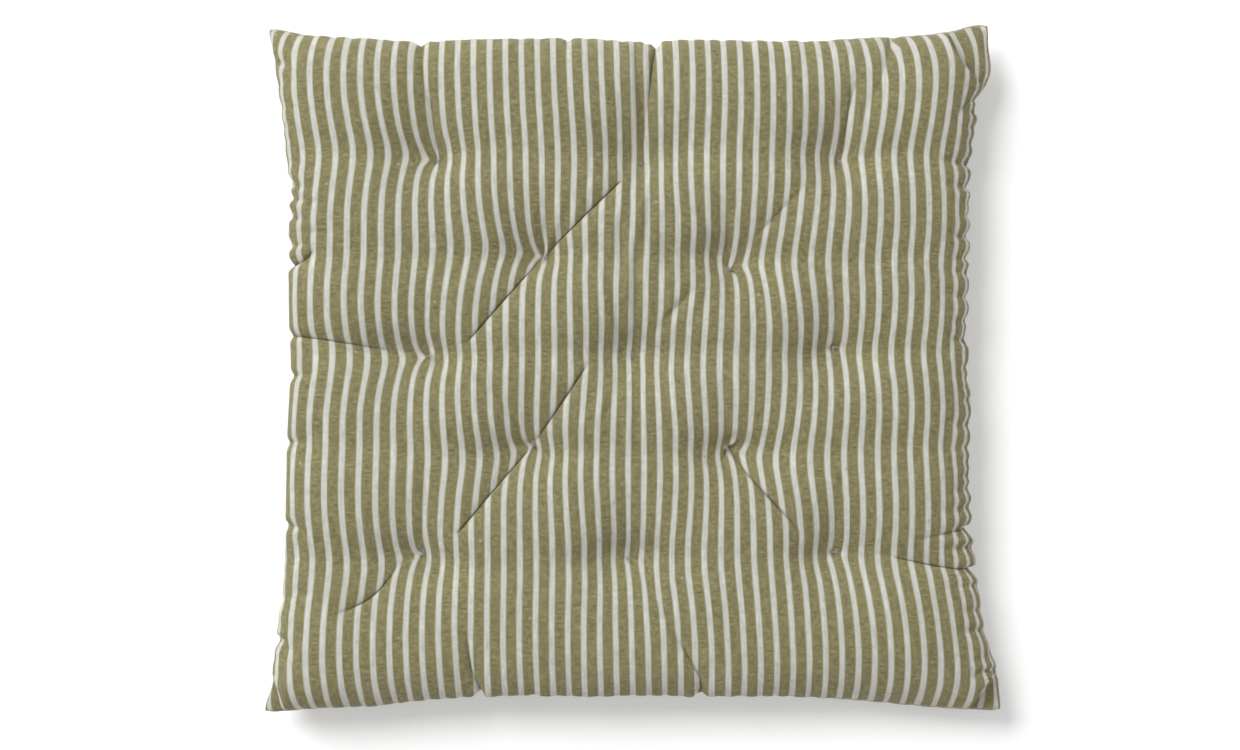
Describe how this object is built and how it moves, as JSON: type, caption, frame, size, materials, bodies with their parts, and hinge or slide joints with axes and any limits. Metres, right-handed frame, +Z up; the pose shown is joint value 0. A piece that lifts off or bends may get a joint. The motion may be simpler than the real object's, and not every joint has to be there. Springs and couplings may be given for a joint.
{
  "type": "tufted chair seat pad",
  "caption": "Square knife-edge chair seat pad in narrow-striped cotton, filled with wadding and tied through at staggered tufts.",
  "frame": {"origin": "centre of the underside, on the plane of the seat that the pad lies on", "axes": "+Z up, out of the sitting face; +X along the wider way, across the chair; +Y to the chair's back; the stripes run along Y"},
  "size_m": [0.398, 0.37, 0.0402],
  "materials": {
    "striped_cotton": "matte plain weave, olive green with narrow off-white stripes",
    "wadding": "matte white fibre wadding",
    "sewing_thread": "matte olive sewing thread",
    "tufting_thread": "matte grey-blue waxed thread"
  },
  "bodies": {
    "root": {"top_panel": "striped_cotton", "bottom_panel": "striped_cotton", "upper_wadding": "wadding", "lower_wadding": "wadding", "seam_thread": "sewing_thread", "closing_thread": "sewing_thread", "tuft_thread_01": "tufting_thread", "tuft_thread_02": "tufting_thread", "tuft_thread_03": "tufting_thread", "tuft_thread_04": "tufting_thread", "tuft_thread_05": "tufting_thread", "tuft_thread_06": "tufting_thread", "tuft_thread_07": "tufting_thread", "tuft_thread_08": "tufting_thread", "tuft_thread_09": "tufting_thread", "tuft_thread_10": "tufting_thread", "tuft_thread_11": "tufting_thread", "tuft_thread_12": "tufting_thread", "tuft_thread_13": "tufting_thread"}
  },
  "joints": []
}
